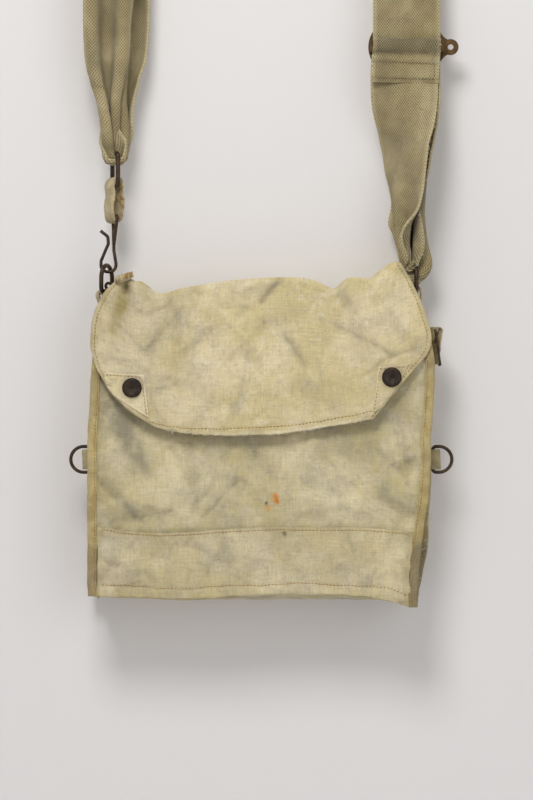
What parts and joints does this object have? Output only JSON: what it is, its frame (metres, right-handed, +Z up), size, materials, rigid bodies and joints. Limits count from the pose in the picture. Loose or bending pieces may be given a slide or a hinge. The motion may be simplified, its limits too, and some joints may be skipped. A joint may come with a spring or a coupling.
{
  "type": "canvas shoulder satchel",
  "caption": "Worn khaki canvas shoulder satchel with a two-snap flap, bound side seams, loose wire D-rings and a hooked webbing sling with a sliding buckle.",
  "frame": {"origin": "centre of the bag's base, on the floor plane it rests on", "axes": "+Z up through the bag and its sling, -Y out of the front where the flap is, +X towards the side with the sliding buckle"},
  "size_m": [0.3024, 0.0649, 0.7041],
  "materials": {
    "canvas": "faded cotton duck, stained",
    "canvas_band": "faded cotton duck, warmer",
    "canvas_patch": "pale cotton duck",
    "canvas_flap": "sun-faded cotton duck, blotched",
    "binding_tape": "khaki twill tape",
    "tab_tape": "khaki tape, frayed",
    "webbing": "coarse khaki cotton webbing, worn",
    "snap_metal": "dark oxidised brass with worn edges",
    "dark_hardware": "dark brown-black patina"
  },
  "bodies": {
    "strap": {"strap_webbing": "webbing"},
    "strap_slider": {"slider_frame": "dark_hardware", "slider_bar": "dark_hardware", "strap_return": "webbing"},
    "strap_ring": {"strap_ring_left": "dark_hardware"},
    "hook_tab": {"hook_tab": "tab_tape"},
    "strap_hook": {"strap_hook": "dark_hardware"},
    "bag": {"back_panel": "canvas", "front_panel": "canvas", "front_lower_band": "canvas_band", "front_hem": "canvas", "stud_patches": "canvas_patch", "gusset_left": "canvas", "gusset_right": "canvas", "bottom_panel": "canvas", "binding_front_left": "binding_tape", "binding_front_right": "binding_tape", "binding_back_left": "binding_tape", "binding_back_right": "binding_tape", "snap_studs": "snap_metal", "snap_stud_washers": "snap_metal", "side_tab_left": "tab_tape", "side_tab_right": "tab_tape", "corner_tab_left": "tab_tape", "corner_tab_right": "tab_tape", "tab_rivets": "snap_metal", "corner_eyelet": "snap_metal", "keeper_tab": "tab_tape"},
    "side_ring_left": {"side_ring_left": "dark_hardware"},
    "side_ring_right": {"side_ring_right": "dark_hardware"},
    "corner_ring_left": {"corner_ring_left": "dark_hardware"},
    "corner_ring_right": {"corner_ring_right": "dark_hardware"},
    "keeper_loop": {"keeper_loop": "dark_hardware"},
    "flap_bridge": {"flap_top": "canvas_flap"},
    "flap_apron": {"flap_apron": "canvas_flap", "flap_hem": "canvas_flap", "flap_patch_left": "canvas_patch", "flap_patch_right": "canvas_patch", "snap_caps": "snap_metal", "snap_sockets": "snap_metal"}
  },
  "joints": [
    {"name": "adjuster_slide", "type": "slide", "parent": "strap", "child": "strap_slider", "axis": [0, 0, 1], "range_m": [-0.035, 0.06]},
    {"name": "strap_ring_swing", "type": "hinge", "parent": "strap", "child": "strap_ring", "pos_m": [-0.1136, 0.012, 0.34525], "axis": [0, 1, 0], "range_deg": [-7, 7]},
    {"name": "hook_tab_swing", "type": "hinge", "parent": "strap_ring", "child": "hook_tab", "pos_m": [-0.1136, 0.012, 0.32075], "axis": [0, 1, 0], "range_deg": [-7.5, 7.5]},
    {"name": "hook_swing", "type": "hinge", "parent": "hook_tab", "child": "strap_hook", "pos_m": [-0.1136, 0.012, 0.297], "axis": [0, 1, 0], "range_deg": [-7.5, 7.5]},
    {"name": "bag_swing", "type": "hinge", "parent": "strap", "child": "bag", "pos_m": [0, 0.012, 0.2483], "axis": [1, 0, 0], "range_deg": [-6, 6]},
    {"name": "corner_ring_left_swing", "type": "hinge", "parent": "bag", "child": "corner_ring_left", "pos_m": [-0.1202, 0.012, 0.2385], "axis": [0.3746, 0.9272, 0], "range_deg": [-5, 5]},
    {"name": "corner_ring_right_swing", "type": "hinge", "parent": "bag", "child": "corner_ring_right", "pos_m": [0.1202, 0.012, 0.2385], "axis": [0, 1, 0], "range_deg": [-4, 4]},
    {"name": "side_ring_left_swing", "type": "hinge", "parent": "bag", "child": "side_ring_left", "pos_m": [-0.1327, 0.0036, 0.108], "axis": [0, 0, 1], "range_deg": [-80, 80]},
    {"name": "side_ring_right_swing", "type": "hinge", "parent": "bag", "child": "side_ring_right", "pos_m": [0.1327, 0.0036, 0.108], "axis": [0, 0, 1], "range_deg": [-80, 80]},
    {"name": "keeper_swing", "type": "hinge", "parent": "bag", "child": "keeper_loop", "pos_m": [0.1345, 0.0036, 0.208], "axis": [0, -1, 0], "range_deg": [-8, 140]},
    {"name": "flap_lift", "type": "hinge", "parent": "bag", "child": "flap_bridge", "pos_m": [0, 0.0252, 0.2462], "axis": [-1, 0, 0], "range_deg": [0, 50]},
    {"name": "flap_bend", "type": "hinge", "parent": "flap_bridge", "child": "flap_apron", "pos_m": [0, -0.0144, 0.2464], "axis": [-1, 0, 0], "range_deg": [0, 90]}
  ],
  "couplings": [
    {"joint": "hook_tab_swing", "follows": "strap_ring_swing", "ratio": -1},
    {"joint": "hook_swing", "follows": "strap_ring_swing", "ratio": -0.96},
    {"joint": "corner_ring_left_swing", "follows": "strap_ring_swing", "ratio": 0.6},
    {"joint": "flap_bend", "follows": "flap_lift", "ratio": 1.8}
  ]
}
